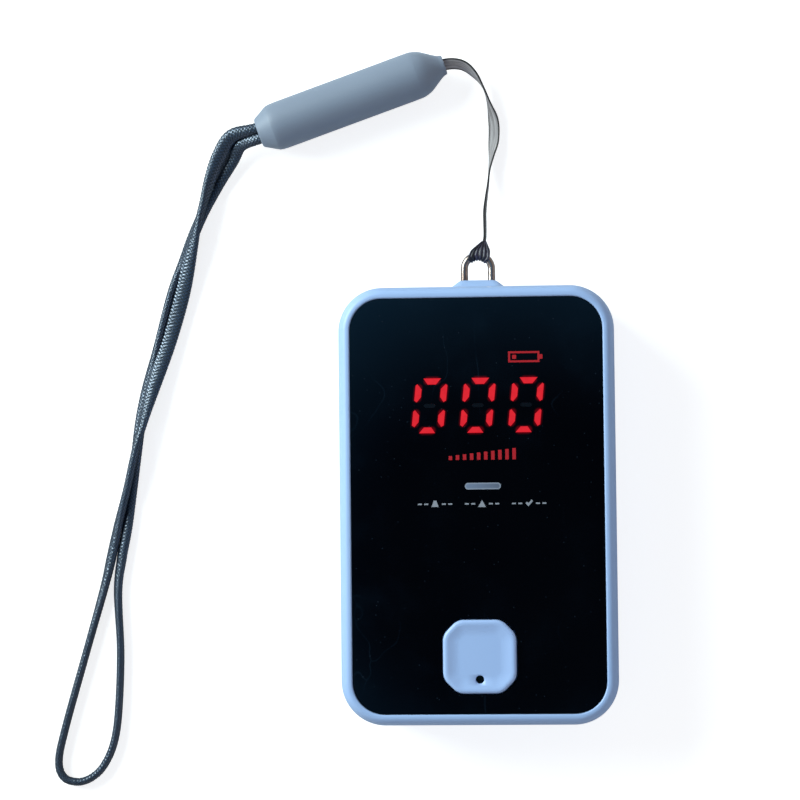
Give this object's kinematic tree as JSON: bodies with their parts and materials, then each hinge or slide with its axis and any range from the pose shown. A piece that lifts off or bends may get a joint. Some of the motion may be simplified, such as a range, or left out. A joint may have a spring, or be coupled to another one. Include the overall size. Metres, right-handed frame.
{
  "type": "carbon monoxide detector",
  "caption": "Pocket gas alarm lying on its back: rounded two-shell case, black front panel with red digits, square test button, wire loop, ribbon, grip sleeve and wrist cord.",
  "frame": {"origin": "middle of the flat back, on the surface that the detector lies on", "axes": "+Z out of the front panel, +Y towards the lanyard loop, +X to the right of the display"},
  "size_m": [0.1158, 0.1503, 0.0195],
  "materials": {
    "shell_plastic": "fine satin moulded plastic",
    "button_plastic": "smooth satin moulded plastic",
    "panel_black": "polished smoked acrylic",
    "adhesive": "black adhesive film",
    "lit_red": "lit red light bar",
    "unlit_bar": "unlit light bar",
    "mark_red": "faintly lit red print",
    "mark_grey": "grey print",
    "lamp_lens": "clear grey-blue light guide",
    "black_plastic": "black moulded plastic",
    "display_plastic": "pale display housing",
    "lamp_chip": "lamp chip",
    "board_green": "lacquered circuit board",
    "chip_black": "chip packages",
    "sensor_metal": "nickel-plated can",
    "foam_black": "closed-cell foam",
    "filter_white": "porous membrane",
    "cell_can": "wrapped metal can",
    "contact_nickel": "nickel-plated spring steel",
    "screw_steel": "zinc-plated steel",
    "loop_steel": "polished steel wire",
    "ribbon_satin": "satin ribbon, dark edges and grey face",
    "sleeve_rubber": "soft-touch grey-blue sleeve",
    "anchor_metal": "crimped ferrule",
    "cord_braid": "flat polyester braid"
  },
  "bodies": {
    "housing": {"front_frame": "shell_plastic", "rear_shell": "shell_plastic", "display_panel": "panel_black", "panel_tape": "adhesive", "lit_segments": "lit_red", "unlit_segments": "unlit_bar", "battery_mark": "mark_red", "level_bars": "mark_red", "status_marks": "mark_grey", "lamp_guide": "lamp_lens", "test_switch": "sensor_metal", "display_block": "display_plastic", "status_leds": "lamp_chip", "main_board": "board_green", "board_chips": "chip_black", "gas_sensor": "sensor_metal", "sensor_gasket": "foam_black", "dust_filter": "filter_white", "buzzer": "black_plastic", "buzzer_gasket": "foam_black", "battery_cells": "cell_can", "contact_plates": "contact_nickel", "contact_springs": "contact_nickel", "housing_screws": "screw_steel", "board_screws": "screw_steel", "wire_loop": "loop_steel", "ribbon_hitch": "ribbon_satin", "tether_ribbon": "ribbon_satin", "grip_sleeve": "sleeve_rubber", "cord_anchor": "anchor_metal", "wrist_cord": "cord_braid"},
    "button": {"button_cap": "button_plastic"},
    "plunger": {"switch_plunger": "black_plastic"},
    "battery_door": {"battery_door": "shell_plastic"}
  },
  "joints": [
    {"name": "button_press", "type": "slide", "parent": "housing", "child": "button", "axis": [0, 0, -1], "range_m": [0, 0.0005], "stiffness_N_per_m": 400, "springref_m": -0.001},
    {"name": "plunger_press", "type": "slide", "parent": "housing", "child": "plunger", "axis": [0, 0, -1], "range_m": [0, 0.0005]},
    {"name": "battery_door_slide", "type": "slide", "parent": "housing", "child": "battery_door", "axis": [0, -1, 0], "range_m": [0, 0.027]}
  ],
  "couplings": [
    {"joint": "plunger_press", "follows": "button_press", "ratio": 1}
  ]
}
